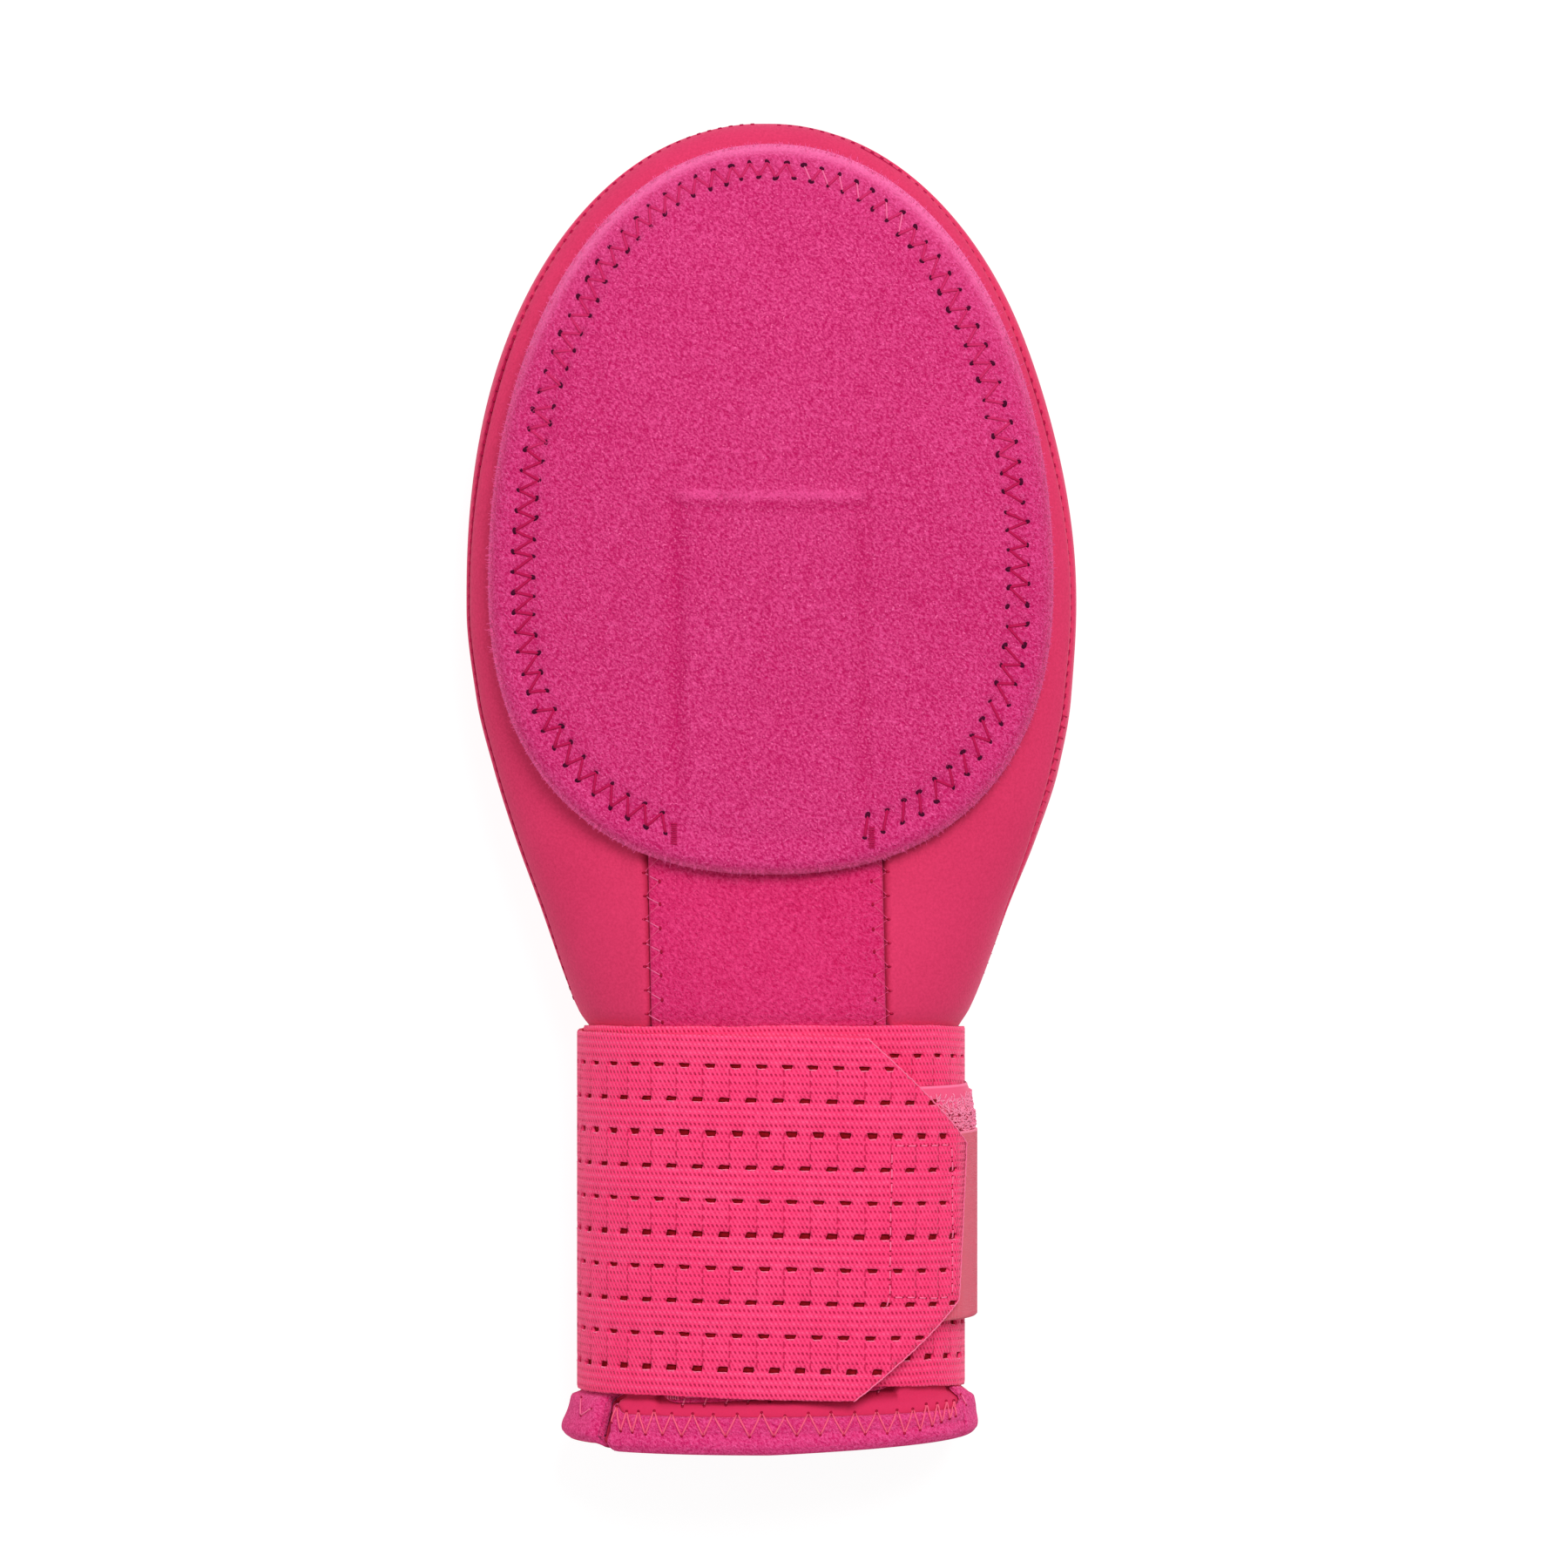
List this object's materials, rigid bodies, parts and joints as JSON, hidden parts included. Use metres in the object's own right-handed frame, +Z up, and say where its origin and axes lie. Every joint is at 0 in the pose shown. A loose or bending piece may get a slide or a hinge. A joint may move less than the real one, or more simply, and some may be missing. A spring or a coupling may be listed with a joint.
{
  "type": "baseball sliding mitt",
  "caption": "Hollow padded mitt with a rounded finger end, a sewn-on palm pad, and a wide perforated elastic strap wound round its wrist and closed with a hook and loop tab.",
  "frame": {"origin": "on the ground, under the middle of the mitt", "axes": "+X across the palm towards the strap's closure, +Y from the cuff to the fingertips, +Z up out of the palm"},
  "size_m": [0.1371, 0.2972, 0.0487],
  "materials": {
    "palm_neoprene": "foam rubber faced with a fine smooth jersey, deep rose, soft sheen",
    "back_neoprene": "foam rubber faced with a fine smooth jersey, deep rose, soft sheen",
    "pad_cover": "brushed fleece with a short dense nap, raspberry, matte",
    "fleece": "short brushed fleece, rose, matte",
    "strap_elastic": "knitted elastic in fine slanted stitches with rows of small holes, coral pink",
    "loop_pile": "fuzzy loop pile, light rose, matte",
    "ribbed_tab": "smooth tape with fine upright ribs, pale rose, satin",
    "thread": "bonded sewing thread, light pink, slight gloss"
  },
  "bodies": {
    "root": {"palm_shell": "palm_neoprene", "back_shell": "back_neoprene", "palm_pad": "pad_cover", "splint_pocket": "fleece", "wrist_strap": "strap_elastic", "loop_patch": "loop_pile", "hook_tab": "ribbed_tab", "cuff_binding_palm": "fleece", "cuff_binding_back": "fleece"}
  },
  "joints": []
}
